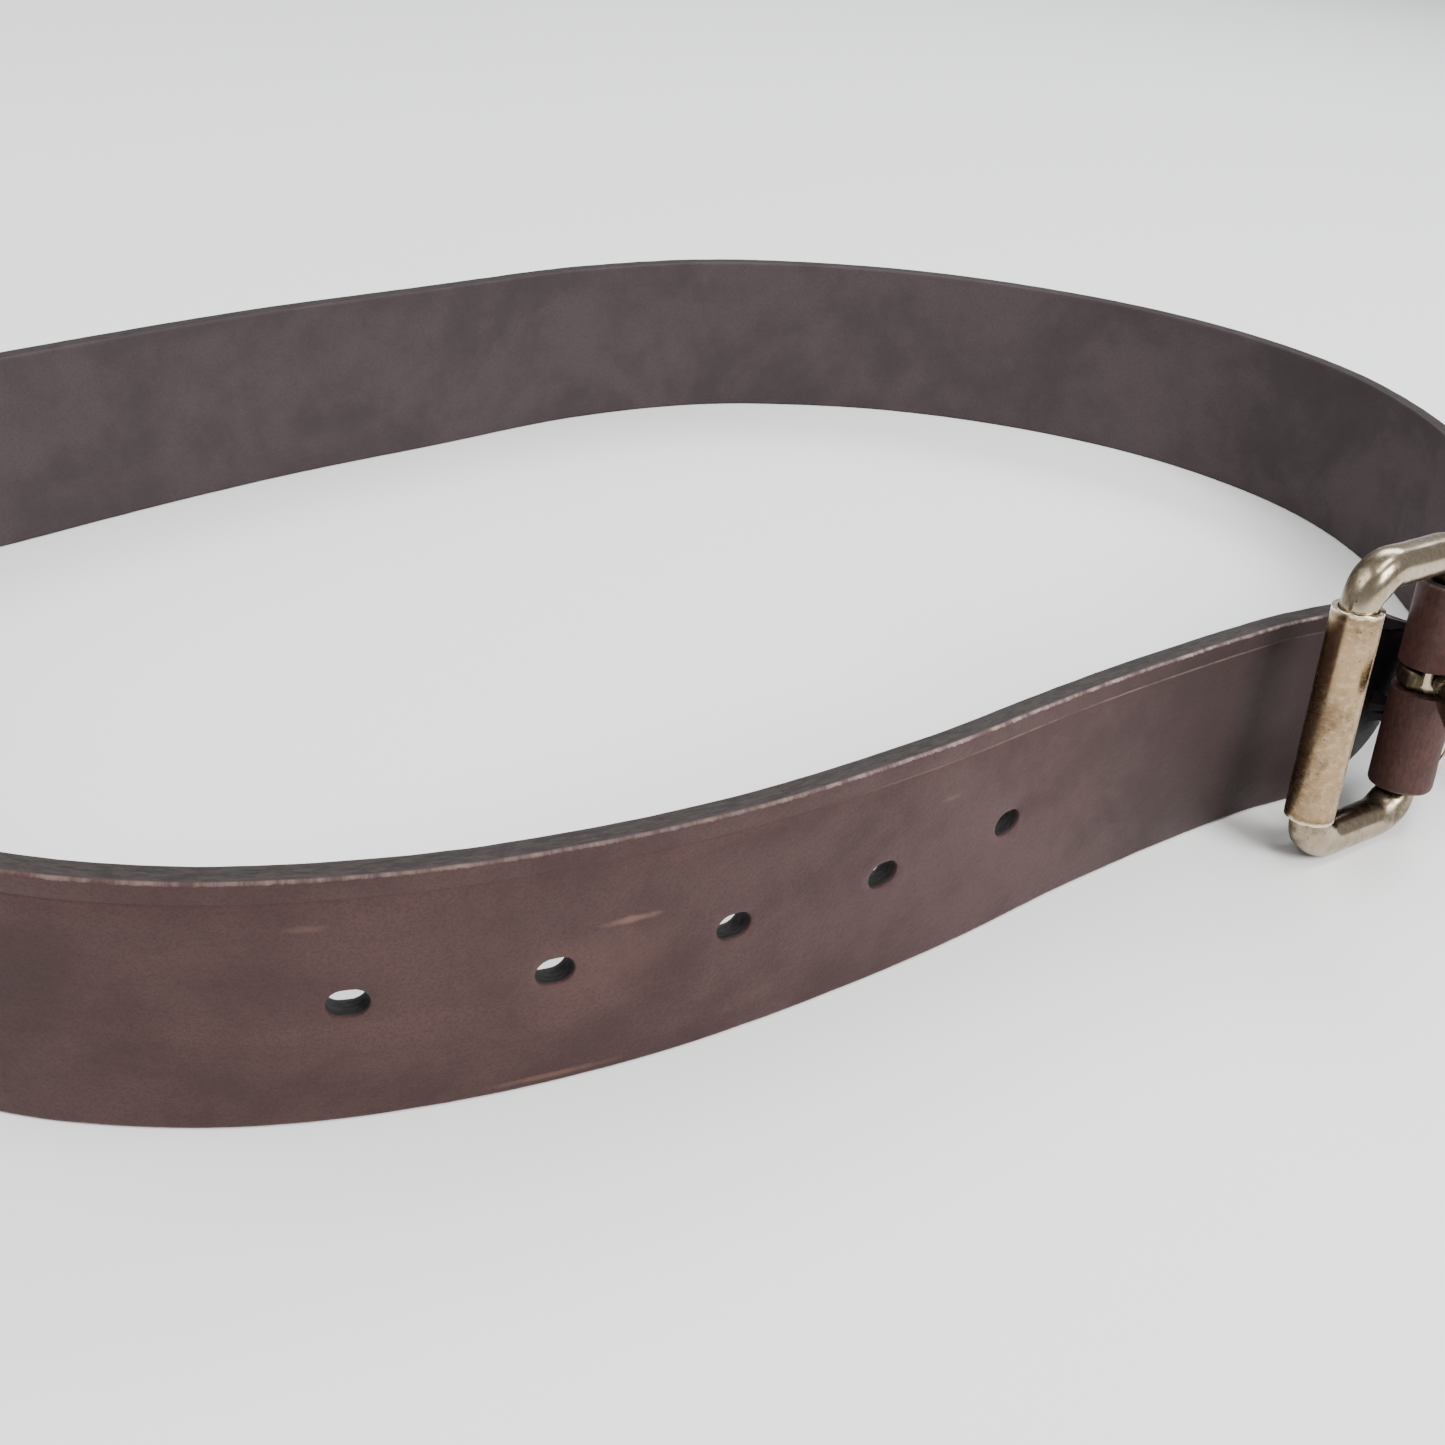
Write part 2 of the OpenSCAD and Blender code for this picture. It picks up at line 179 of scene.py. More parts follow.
def settle_modifiers(piece):
    """Replaces the mesh by what its modifiers make of it."""
    graph = bpy.context.evaluated_depsgraph_get()
    graph.update()
    made = bpy.data.meshes.new_from_object(piece.evaluated_get(graph))
    piece.modifiers.clear()
    piece.data = made


def smooth_faces(piece, angle=35):
    piece.data.shade_smooth()
    piece.data.set_sharp_from_angle(angle=math.radians(angle))


def points_of(piece):
    co = np.empty(len(piece.data.vertices) * 3, np.float32)
    piece.data.vertices.foreach_get("co", co)
    return co.reshape(-1, 3).astype(float)


def put_points(piece, co):
    piece.data.vertices.foreach_set("co", co.astype(np.float32).ravel())
    piece.data.update()


def slab(name, cuts, rows, thickness, edge):
    """A flat blank with rounded edges: x at the cuts, y at the rows, z through its thickness."""
    bm = bmesh.new()
    bmesh.ops.create_grid(bm, x_segments=len(cuts) - 1, y_segments=len(rows) - 1, size=1)
    for vert in bm.verts:
        i = round((vert.co.x + 1) / 2 * (len(cuts) - 1))
        j = round((vert.co.y + 1) / 2 * (len(rows) - 1))
        vert.co = (cuts[i], rows[j], thickness / 2)
    grown = bmesh.ops.extrude_face_region(bm, geom=bm.faces[:])
    below = [g for g in grown["geom"] if isinstance(g, bmesh.types.BMVert)]
    bmesh.ops.translate(bm, verts=below, vec=(0, 0, -thickness))
    bmesh.ops.recalc_face_normals(bm, faces=bm.faces)
    arris = [e for e in bm.edges if len(e.link_faces) == 2 and e.calc_face_angle() > 1]
    bmesh.ops.bevel(bm, geom=arris, offset=edge, segments=3, profile=0.5, affect="EDGES", material=-1)
    return mesh_object(name, bm)


def keep_blank(piece):
    """Keeps the flat blank's own coordinates, so that grain, creases and wear follow the piece."""
    flat = points_of(piece)
    blank = piece.data.attributes.new("blank", "FLOAT_VECTOR", "POINT")
    blank.data.foreach_set("vector", flat.astype(np.float32).ravel())
    return flat


def face_outwards(piece):
    bm = bmesh.new()
    bm.from_mesh(piece.data)
    bmesh.ops.recalc_face_normals(bm, faces=bm.faces)
    bm.to_mesh(piece.data)
    bm.free()


def punch(bm, along, across, long, high, flare=0.3 * MM):
    """A tube punch with eased mouths, standing through the blank."""
    reach = (long - high) / 2
    skin = strap_t / 2
    rings = []
    for depth, grow in ((2 * skin, 1), (skin, 1), (skin - 0.12 * MM, 0.3), (skin - 0.35 * MM, 0)):
        rings.append((depth, grow * flare))
    rings += [(-depth, grow) for depth, grow in reversed(rings)]
    edges = []
    for depth, grow in rings:
        ring = bmesh.ops.create_circle(bm, segments=32, radius=high / 2 + grow)["verts"]
        for vert in ring:
            vert.co.x += along + math.copysign(reach, vert.co.x) * (abs(vert.co.x) > 1e-6)
            vert.co.y += across
            vert.co.z = depth
        edges.append(list({e for vert in ring for e in vert.link_edges}))
    for one, two in zip(edges, edges[1:]):
        bmesh.ops.bridge_loops(bm, edges=one + two)
    bmesh.ops.contextual_create(bm, geom=edges[0])
    bmesh.ops.contextual_create(bm, geom=edges[-1])


hole_first, hole_pitch, hole_len, hole_high = 117.8 * MM, 25.4 * MM, 5.2 * MM, 4.2 * MM
fold_from, fold_to = fold_at - 16 * MM, fold_at + 16 * MM
cuts = np.concatenate([
    np.arange(0, 40, 1.0) * MM, np.arange(40 * MM, fold_from, 2.2 * MM),
    np.arange(fold_from, fold_to, 0.55 * MM), np.arange(fold_to, strap_len - MM, 1.8 * MM), [strap_len]])
rows = np.array([0, 0.8, 2.9, 3.2, 3.5, 6, 9.5, 13, 16]) * MM
rows = np.concatenate([rows - half_w, [0], (half_w - rows)[::-1]])
strap = slab("strap_leather", cuts, rows, strap_t, 0.5 * MM)
bm = bmesh.new()
for i in range(5):
    punch(bm, hole_first + i * hole_pitch, 0, hole_len, hole_high)
for side in (-1, 1):
    for at in screw_at:
        for layer in ("main", "flap"):
            punch(bm, length_of(at, layer), side * screw_side, 4.9 * MM, 4.9 * MM, 0.1 * MM)
slot_end = math.pi / 2 * fold_r + slot_reach
punch(bm, fold_at, slot_middle, 2 * slot_end, slot_w)
bmesh.ops.recalc_face_normals(bm, faces=bm.faces)
punches = mesh_object("punches", bm)
cut = strap.modifiers.new("punch", "BOOLEAN")
cut.object, cut.solver, cut.operation = punches, "EXACT", "DIFFERENCE"
settle_modifiers(strap)
bpy.data.objects.remove(punches)

flat = keep_blank(strap)

# The pressed crease along the upper edge, and the slight waver of a hand-cut edge and a worn face
grain_side = np.clip(flat[:, 2] / (strap_t / 2), 0, 1) ** 6
crease = np.exp(-((half_w - flat[:, 1] - 3.2 * MM) / (0.16 * MM)) ** 2) * grain_side
flat_bent = flat.copy()
flat_bent[:, 2] -= 0.14 * MM * crease
waver = np.array([(noise.noise(Vector((s * 55, v * 40, 3))), noise.noise(Vector((s * 130, 7, v * 60))))
                  for s, v in flat[:, :2]])
flat_bent[:, 2] += 0.09 * MM * waver[:, 0]
near_edge = abs(flat[:, 1]) > half_w - 1.5 * MM
flat_bent[:, 1] -= 0.15 * MM * abs(waver[:, 1]) * np.sign(flat[:, 1]) * near_edge
put_points(strap, bend(flat_bent))

# Each binding screw presses a flat seat into the leather on both sides
head_r = 4.75 * MM


def screw_seat(at, side):
    """How far from the chape's middle plane a head sits, outside the loop or inside it."""
    shut = float(ease(np.array(at / pinch_len)))
    if side == "out":
        return fold_r - (fold_r + main_y) * shut + (skive_t + (strap_t - skive_t) * shut) / 2 - 0.15 * MM
    return fold_r + (flap_y - fold_r) * shut + skive_t / 2 - 0.15 * MM


co = points_of(strap)
local = np.column_stack([(co - heel) @ d for d in (chape_along, chape_in, bar_up)])
for at in screw_at:
    for side in (-1, 1):
        away = np.hypot(local[:, 0] - at, local[:, 2] - side * screw_side)
        press = ease((head_r + 1.4 * MM - away) / (1.2 * MM))
        outer, inner = screw_seat(at, "out"), screw_seat(at, "in")
        near = abs(local[:, 1]) < 9 * MM
        push = np.where(local[:, 1] < -outer, -outer - local[:, 1], 0)
        push = np.where(local[:, 1] > inner, inner - local[:, 1], push)
        local[:, 1] += np.where(near, push * press, 0)
put_points(strap, heel + local @ np.vstack([chape_along, chape_in, bar_up]))
face_outwards(strap)
smooth_faces(strap)


def make_node(tree, kind, inputs=None, **settings):
    """Adds a shader node; an input is a value, or another node's output."""
    made = tree.nodes.new(kind)
    for key, value in settings.items():
        setattr(made, key, value)
    for key, value in (inputs or {}).items():
        if isinstance(value, bpy.types.NodeSocket):
            tree.links.new(value, made.inputs[key])
        else:
            made.inputs[key].default_value = value
    return made


def maths(tree, operation, a, b=0.0, clamp=False):
    return make_node(tree, "ShaderNodeMath", {0: a, 1: b}, operation=operation, use_clamp=clamp).outputs[0]


def between(tree, value, low, high, to_low=0.0, to_high=1.0):
    """Smooth step of a value from low to high."""
    made = make_node(tree, "ShaderNodeMapRange", {"Value": value, "From Min": low, "From Max": high,
                                                  "To Min": to_low, "To Max": to_high})
    made.interpolation_type = "SMOOTHSTEP"
    return made.outputs["Result"]


def tint(tree, mask, under, over, mode="MIX"):
    made = make_node(tree, "ShaderNodeMix", data_type="RGBA", blend_type=mode)
    for index, value in ((0, mask), (6, under), (7, over)):
        if isinstance(value, bpy.types.NodeSocket):
            tree.links.new(value, made.inputs[index])
        else:
            made.inputs[index].default_value = value
    return made.outputs[2]


def speckle(tree, vector, scale, detail=3.0, rough=0.55, warp=0.0):
    return make_node(tree, "ShaderNodeTexNoise", {"Vector": vector, "Scale": scale, "Detail": detail,
                                                  "Roughness": rough, "Distortion": warp}).outputs["Fac"]


def stretched(tree, vector, scale):
    return make_node(tree, "ShaderNodeMapping", {"Vector": vector, "Scale": scale}).outputs[0]


def new_group(name, inputs, outputs):
    """A shader node group with its own sockets: {name: (kind, default)} in, {name: kind} out."""
    group = bpy.data.node_groups.new(name, "ShaderNodeTree")
    for key, (kind, value) in inputs.items():
        socket = group.interface.new_socket(key, in_out="INPUT", socket_type="NodeSocket" + kind)
        if value is not None:
            socket.default_value = value
    for key, kind in outputs.items():
        group.interface.new_socket(key, in_out="OUTPUT", socket_type="NodeSocket" + kind)
    return group, group.nodes.new("NodeGroupInput").outputs, group.nodes.new("NodeGroupOutput").inputs


def use_group(tree, group, inputs):
    made = make_node(tree, "ShaderNodeGroup")
    made.node_tree = group
    for key, value in inputs.items():
        if isinstance(value, bpy.types.NodeSocket):
            tree.links.new(value, made.inputs[key])
        else:
            made.inputs[key].default_value = value
    return made.outputs


def new_material(name, roughness, metallic=0.0, specular=0.5):
    material = bpy.data.materials.new(name)
    material.use_nodes = True
    shader = material.node_tree.nodes["Principled BSDF"]
    shader.inputs["Roughness"].default_value = roughness
    shader.inputs["Metallic"].default_value = metallic
    shader.inputs["Specular IOR Level"].default_value = specular
    return material, material.node_tree, shader.inputs


# Hide grain: pebbled pores with fine wrinkles between them, and the cloudy uptake of the dye
hide_grain, given, gives = new_group(
    "hide_grain", {"Vector": ("Vector", None)}, {"Height": "Float", "Cloud": "Float", "Fleck": "Float"})
pores = make_node(hide_grain, "ShaderNodeTexVoronoi",
                  {"Vector": given["Vector"], "Scale": 1300.0, "Randomness": 1.0},
                  feature="F1").outputs["Distance"]
wrinkle = speckle(hide_grain, given["Vector"], 700.0, 4.0, 0.6, 0.4)
soft = speckle(hide_grain, given["Vector"], 130.0, 3.0, 0.5)
folds = maths(hide_grain, "ADD", maths(hide_grain, "MULTIPLY", wrinkle, 0.7),
              maths(hide_grain, "MULTIPLY", soft, 0.8))
height = maths(hide_grain, "ADD", maths(hide_grain, "MULTIPLY", pores, 0.45), folds)
hide_grain.links.new(height, gives["Height"])
wide_cloud = speckle(hide_grain, given["Vector"], 26.0, 4.0, 0.6, 0.6)
small_cloud = speckle(hide_grain, given["Vector"], 95.0, 5.0, 0.65)
cloud = maths(hide_grain, "ADD", maths(hide_grain, "MULTIPLY", wide_cloud, 0.6),
              maths(hide_grain, "MULTIPLY", small_cloud, 0.4))
hide_grain.links.new(between(hide_grain, cloud, 0.36, 0.64), gives["Cloud"])
fleck = speckle(hide_grain, given["Vector"], 3000.0, 3.0, 0.6)
hide_grain.links.new(between(hide_grain, fleck, 0.35, 0.65), gives["Fleck"])

strap_leather, tree, shader = new_material("strap_leather", 0.6, specular=0.2)
where = make_node(tree, "ShaderNodeAttribute", attribute_name="blank").outputs["Vector"]
parts = make_node(tree, "ShaderNodeSeparateXYZ", {0: where}).outputs
along, across, through = parts[0], parts[1], parts[2]
grain = use_group(tree, hide_grain, {"Vector": where})
rim = maths(tree, "SUBTRACT", half_w, maths(tree, "ABSOLUTE", across))
grain_side = between(tree, through, 1.05 * MM, 1.55 * MM)
flesh_side = between(tree, through, -1.05 * MM, -1.55 * MM)
top_side = between(tree, across, 0, 2 * MM)

# Grain side: dyed reddish brown, clouded and rubbed, greyer and darker where it has passed the buckle, partly
# from rubbing and partly painted shade of the buckle; the tip behind the roller is painted near-black as
# shade
face = tint(tree, grain["Cloud"], (0.040, 0.0200, 0.0190, 1), (0.058, 0.028, 0.0260, 1))
long_streaks = speckle(tree, stretched(tree, where, (14, 90, 1)), 1.0, 4.0, 0.6, 0.3)
face = tint(tree, between(tree, long_streaks, 0.52, 0.72, 0, 0.35), face, (0.076, 0.036, 0.032, 1))
face = tint(tree, between(tree, grain["Fleck"], 0.2, 1.0, 0, 0.4), face, (0.024, 0.0135, 0.0130, 1))
# Greyer and darker towards the buckle: partly rubbing, partly painted shade cast by the buckle
buckle_rub_and_shade = maths(tree, "MULTIPLY", between(tree, along, 20 * MM, 34 * MM),
                   between(tree, along, 115 * MM, 60 * MM))
face = tint(tree, maths(tree, "MULTIPLY", buckle_rub_and_shade, 0.8), face, (0.030, 0.0205, 0.0205, 1))
# Painted shade: the tip, lying in the shadow between the roller and the fold, is painted near-black blue
face = tint(tree, between(tree, along, 36 * MM, 27 * MM, 0, 0.85), face, (0.014, 0.012, 0.015, 1))

# Scuffs: place along and across the blank, half length and half height, and strength
scuffs = ((184, 6, 5.5, 0.9, 0.5), (187, 0, 16, 8, 0.1), (194, -17.6, 12, 0.8, 0.35),
          (224, 12, 4, 0.8, 0.18), (132, 9.5, 3, 0.6, 0.2))
for s, v, long, high, strength in scuffs:
    offset = make_node(tree, "ShaderNodeVectorMath", {0: where, 1: (s * MM, v * MM, strap_t / 2)},
                       operation="SUBTRACT").outputs[0]
    size = make_node(tree, "ShaderNodeVectorMath", {0: offset, 1: (1 / (long * MM), 1 / (high * MM), 0)},
                     operation="MULTIPLY").outputs[0]
    spread = make_node(tree, "ShaderNodeVectorMath", {0: size}, operation="LENGTH").outputs["Value"]
    ragged = maths(tree, "ADD", spread, maths(tree, "MULTIPLY", speckle(tree, where, 420.0, 4.0, 0.7), 0.9))
    face = tint(tree, between(tree, ragged, 1.35, 0.6, 0, strength), face, (0.19, 0.10, 0.075, 1))

# The pressed crease line, lighter where the wax has worn off it
crease = maths(tree, "ABSOLUTE", maths(tree, "SUBTRACT", rim, 3.2 * MM))
crease_spots = speckle(tree, stretched(tree, where, (60, 1, 1)), 1.0, 4.0, 0.7)
crease_wear = between(tree, crease_spots, 0.34, 0.58, 0.12, 1)
crease_line = maths(tree, "MULTIPLY", between(tree, crease, 0.24 * MM, 0.08 * MM),
                    maths(tree, "MULTIPLY", crease_wear, top_side))
crease_reach = maths(tree, "MULTIPLY", between(tree, along, 165 * MM, 115 * MM, 0.04, 1),
                     between(tree, along, 40 * MM, 75 * MM, 0.2, 1))
crease_line = maths(tree, "MULTIPLY", crease_line, crease_reach)
face = tint(tree, maths(tree, "MULTIPLY", crease_line, 0.6), face, (0.20, 0.135, 0.115, 1))

# The fold is strained round the bar: redder, with fine crackle, and rubbed pale at its edges
fold = between(tree, maths(tree, "ABSOLUTE", maths(tree, "SUBTRACT", along, fold_at)), 11 * MM, 6 * MM)
crackle = between(tree, speckle(tree, stretched(tree, where, (1500, 520, 1)), 1.0, 5.0, 0.7, 0.5), 0.36, 0.66)
strained = tint(tree, crackle, (0.046, 0.020, 0.017, 1), (0.078, 0.034, 0.028, 1))
face = tint(tree, maths(tree, "MULTIPLY", fold, 0.75), face, strained)

# Flesh side: smoother, greyer and more even
flesh = tint(tree, grain["Cloud"], (0.040, 0.030, 0.032, 1), (0.056, 0.041, 0.043, 1))
flesh = tint(tree, between(tree, grain["Fleck"], 0.2, 1.0, 0, 0.3), flesh, (0.028, 0.022, 0.024, 1))

# Cut edges: burnished grey-brown, with the fibres showing as fine lines along them
fibres = speckle(tree, stretched(tree, where, (500, 500, 2600)), 1.0, 5.0, 0.7)
cut_edge = tint(tree, between(tree, fibres, 0.35, 0.65), (0.026, 0.022, 0.021, 1), (0.044, 0.037, 0.035, 1))
walls = tint(tree, between(tree, fibres, 0.35, 0.65), (0.010, 0.010, 0.010, 1), (0.028, 0.026, 0.025, 1))
cut_edge = tint(tree, between(tree, rim, 0.9 * MM, 1.6 * MM), cut_edge, walls)

colour = tint(tree, grain_side, cut_edge, face)
colour = tint(tree, flesh_side, colour, flesh)

# The outer arris is rubbed through to pale fibre, most of all along the top near the buckle
rag = maths(tree, "MULTIPLY", speckle(tree, where, 1500.0, 5.0, 0.75), 0.9 * MM)
ragged_rim = maths(tree, "SUBTRACT", rim, rag)
arris = maths(tree, "MULTIPLY", between(tree, ragged_rim, 0.02 * MM, -0.2 * MM),
              between(tree, through, 1.25 * MM, 1.6 * MM))
rub_spots = speckle(tree, stretched(tree, where, (230, 1, 1)), 1.0, 5.0, 0.7)
rubbed = between(tree, rub_spots, 0.40, 0.62, 0.15, 1.0)
near_buckle = between(tree, along, 190 * MM, 120 * MM, 0.4, 1.0)
most_on_top = maths(tree, "MULTIPLY", near_buckle, between(tree, across, -1 * MM, MM, 0.6, 1.0))
arris = maths(tree, "MULTIPLY", arris, maths(tree, "MULTIPLY", rubbed, most_on_top))
colour = tint(tree, maths(tree, "MULTIPLY", arris, 0.8), colour, (0.34, 0.25, 0.22, 1))
tree.links.new(colour, shader["Base Color"])
rough = between(tree, grain["Cloud"], 0, 1, 0.62, 0.48)
cut_side = maths(tree, "SUBTRACT", 1.0, maths(tree, "ADD", grain_side, flesh_side), clamp=True)
rough = maths(tree, "ADD", rough, maths(tree, "MULTIPLY", flesh_side, 0.16))
tree.links.new(maths(tree, "ADD", rough, maths(tree, "MULTIPLY", cut_side, 0.3)), shader["Roughness"])
relief = maths(tree, "ADD", grain["Height"], maths(tree, "MULTIPLY", crease_line, -1.0))
bump = make_node(tree, "ShaderNodeBump", {"Height": relief, "Strength": 0.5, "Distance": 0.14 * MM})
tree.links.new(bump.outputs[0], shader["Normal"])
strap.data.materials.clear()
strap.data.materials.append(strap_leather)
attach(strap, "root")
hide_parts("strap")


# ---- Keeper --------------------------------------------------------------------------------
# A narrow band of the same hide, skived thin, wrapped round both layers of the folded end
# behind the buckle. Its ends are butted on the inner side, and hold the strap's tip in wear.

keeper_t, keeper_w, keeper_at, keeper_room = 2 * MM, 12 * MM, 20 * MM, 4.2 * MM
keeper_low = -strap_t - 0.05 * MM - keeper_room - keeper_t / 2
keeper_high = 2 * flap_y + 0.25 * MM + keeper_t / 2
keeper_side, keeper_corner = half_w + 0.35 * MM + keeper_t / 2, 2 * MM


def keeper_line():
    """Middle line of the keeper's band in the chape's own plane, round from joint to joint."""
    corners = [(keeper_high, keeper_side, 90), (keeper_low, keeper_side, 180),
               (keeper_low, -keeper_side, 270), (keeper_high, -keeper_side, 360)]
    line = [(keeper_high, 0.1 * MM), (keeper_high, keeper_side / 2)]
    for into, high, turn in corners:
        centre = (into - math.copysign(keeper_corner, into), high - math.copysign(keeper_corner, high))
        for step in range(9):
            a = math.radians(turn - 90 + step * 90 / 8)
            line.append((centre[0] + keeper_corner * math.cos(a), centre[1] + keeper_corner * math.sin(a)))
        if into == keeper_low:
            line.append((keeper_low, high / 3))
    return np.array(line + [(keeper_high, -keeper_side / 2), (keeper_high, -0.1 * MM)])


line = keeper_line()
line_at = np.concatenate([[0], np.cumsum(np.linalg.norm(np.diff(line, axis=0), axis=1))])
cuts = np.unique(np.concatenate([line_at, np.arange(0, line_at[-1], 1.5 * MM)]))
cuts = cuts[np.concatenate([[True], np.diff(cuts) > 0.05 * MM])]
rows = np.array([0, 0.7, 1.5, 1.8, 2.1, 4, 6, 8, 9.9, 10.2, 10.5, 11.3, 12]) * MM - keeper_w / 2
keeper = slab("keeper_leather", cuts, rows, keeper_t, 0.4 * MM)
flat = keep_blank(keeper)
on_face = flat[:, 2] > keeper_t * 0.4
grooves = np.exp(-((keeper_w / 2 - abs(flat[:, 1]) - 1.8 * MM) / (0.2 * MM)) ** 2) * on_face
s, v, t = flat[:, 0], flat[:, 1], flat[:, 2] - 0.12 * MM * grooves
spot = np.column_stack([np.interp(s, line_at, line[:, i]) for i in (0, 1)])
ahead_at, behind_at = ([np.column_stack([np.interp(s + d, line_at, line[:, i]) for i in (0, 1)])
                        for d in (0.25 * MM, -0.25 * MM)])
way = unit(ahead_at - behind_at)
spot = spot + np.column_stack([way[:, 1], -way[:, 0]]) * t[:, None]
put_points(keeper, place_in_chape((keeper_at + keeper_w / 2 + v)[:, None], spot[:, :1], spot[:, 1:]))
face_outwards(keeper)
smooth_faces(keeper)

keeper_leather, tree, shader = new_material("keeper_leather", 0.5, specular=0.25)
where = make_node(tree, "ShaderNodeAttribute", attribute_name="blank").outputs["Vector"]
parts = make_node(tree, "ShaderNodeSeparateXYZ", {0: where}).outputs
grain = use_group(tree, hide_grain, {"Vector": where})
rim = maths(tree, "SUBTRACT", keeper_w / 2, maths(tree, "ABSOLUTE", parts[1]))
colour = tint(tree, grain["Cloud"], (0.046, 0.023, 0.020, 1), (0.076, 0.036, 0.030, 1))
colour = tint(tree, between(tree, parts[2], 0.75 * MM, 0.3 * MM), colour, (0.036, 0.028, 0.028, 1))
colour = tint(tree, maths(tree, "MULTIPLY", between(tree, rim, 0.3 * MM, 0.0), 0.85), colour,
              (0.040, 0.030, 0.028, 1))
worn = between(tree, speckle(tree, where, 480.0, 5.0, 0.7), 0.48, 0.66)
from_arris = maths(tree, "ABSOLUTE", maths(tree, "SUBTRACT", rim, 0.25 * MM))
arris = maths(tree, "MULTIPLY", between(tree, from_arris, 0.4 * MM, 0.1 * MM),
              between(tree, parts[2], 0.6 * MM, 0.9 * MM))
colour = tint(tree, maths(tree, "MULTIPLY", arris, worn), colour, (0.30, 0.22, 0.19, 1))
tree.links.new(colour, shader["Base Color"])
tree.links.new(between(tree, grain["Cloud"], 0, 1, 0.56, 0.42), shader["Roughness"])
bump = make_node(tree, "ShaderNodeBump", {"Height": grain["Height"], "Strength": 0.35, "Distance": 0.12 * MM})
tree.links.new(bump.outputs[0], shader["Normal"])
keeper.data.materials.append(keeper_leather)
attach(keeper, "root")
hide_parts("keeper")


# ---- Keeper staple -------------------------------------------------------------------------
# One staple of flattened steel wire across the keeper's butt joint, driven in from the inner
# side with its two legs buried in the leather.

wire_r, staple_half = 0.4 * MM, 3.5 * MM


def skin(bm, rings):
    """Skins a run of rings, given as points[ring, place round it], into one closed bar."""
    rings = np.concatenate([rings, rings[:, :1]], axis=1)
    count, round_it = rings.shape[0] - 1, rings.shape[1] - 1
    made = bmesh.ops.create_grid(bm, x_segments=count, y_segments=round_it, size=1)["verts"]
    for vert in made:
        i, j = round((vert.co.x + 1) / 2 * count), round((vert.co.y + 1) / 2 * round_it)
        vert.co = rings[i, j]
    bmesh.ops.remove_doubles(bm, verts=made, dist=1e-7)
    bmesh.ops.holes_fill(bm, edges=[e for e in bm.edges if e.is_boundary])
    bmesh.ops.recalc_face_normals(bm, faces=bm.faces)


def into_place(bm, x, y, z, at):
    """Moves what is made in its own axes to where it belongs."""
    place = np.vstack([np.column_stack([x, y, z, at]), (0, 0, 0, 1)])
    bmesh.ops.transform(bm, matrix=Matrix(place.tolist()), verts=bm.verts)


turn = np.radians(np.arange(0, 91, 15))
leg = [(0, -keeper_t * 0.9), (0, -0.6 * MM)]
bow = [(0.6 * MM - 0.6 * MM * math.cos(a), -0.6 * MM + 0.6 * MM * math.sin(a)) for a in turn]
half_wire = np.array(leg + bow[1:]) + (-staple_half, 0)
wire = np.vstack([half_wire, half_wire[::-1] * (-1, 1)])
crown = keeper_high + keeper_t / 2 + wire_r / 2
way = unit(np.gradient(wire, axis=0))
a = np.radians(np.arange(0, 360, 30))
rings = np.array([
    [(wire_r * math.cos(b), crown + p[1] + wire_r * math.sin(b) * w[0] * 0.8,
      p[0] - wire_r * math.sin(b) * w[1]) for b in a]
    for p, w in zip(wire, way)])
bm = bmesh.new()
skin(bm, rings)
into_place(bm, chape_along, chape_in, bar_up, place_in_chape(keeper_at + keeper_w / 2, 0, 0))
staple = mesh_object("keeper_staple_wire", bm)
smooth_faces(staple, 60)

staple_steel, tree, shader = new_material("staple_steel", 0.38, metallic=1.0)
where = make_node(tree, "ShaderNodeTexCoord").outputs["Object"]
dull = between(tree, speckle(tree, where, 900.0, 4.0, 0.6), 0.45, 0.62)
tree.links.new(tint(tree, dull, (0.50, 0.50, 0.50, 1), (0.20, 0.15, 0.12, 1)), shader["Base Color"])
tree.links.new(between(tree, dull, 0, 1, 0.3, 0.6), shader["Roughness"])
staple.data.materials.append(staple_steel)
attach(staple, "root")
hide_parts("keeper_staple")


# ---- Binding screws ------------------------------------------------------------------------
# Four Chicago screws clamp the folded end: each post's low domed head lies inside the loop, and
# its slotted screw closes it outside. They are turned brass, dulled and darkened like the buckle.

head_t, post_r, thread_r = 1.2 * MM, 2.4 * MM, 1.65 * MM


def turned(bm, profile, steps=64):
    """Turns a profile of (radius, height) points about Z."""
    verts = [bm.verts.new((r, 0, z)) for r, z in profile]
    edges = [bm.edges.new(pair) for pair in zip(verts, verts[1:])]
    bmesh.ops.spin(bm, geom=verts + edges, axis=(0, 0, 1), cent=(0, 0, 0), steps=steps,
                   angle=math.tau, use_merge=True)
    bmesh.ops.remove_doubles(bm, verts=bm.verts, dist=1e-6)
    bmesh.ops.recalc_face_normals(bm, faces=bm.faces)


def head_profile(dome):
    """A low head with a rounded rim, from the edge of its underside to the middle of its top."""
    rim = [(head_r - 0.45 * MM, 0), (head_r - 0.08 * MM, 0.12 * MM), (head_r, 0.40 * MM),
           (head_r - 0.10 * MM, 0.68 * MM)]
    top = [(head_r * f, head_t - 0.40 * MM * f ** 4 - dome * f * f) for f in (0.92, 0.8, 0.6, 0.4, 0.2)]
    return rim + top + [(0, head_t)]


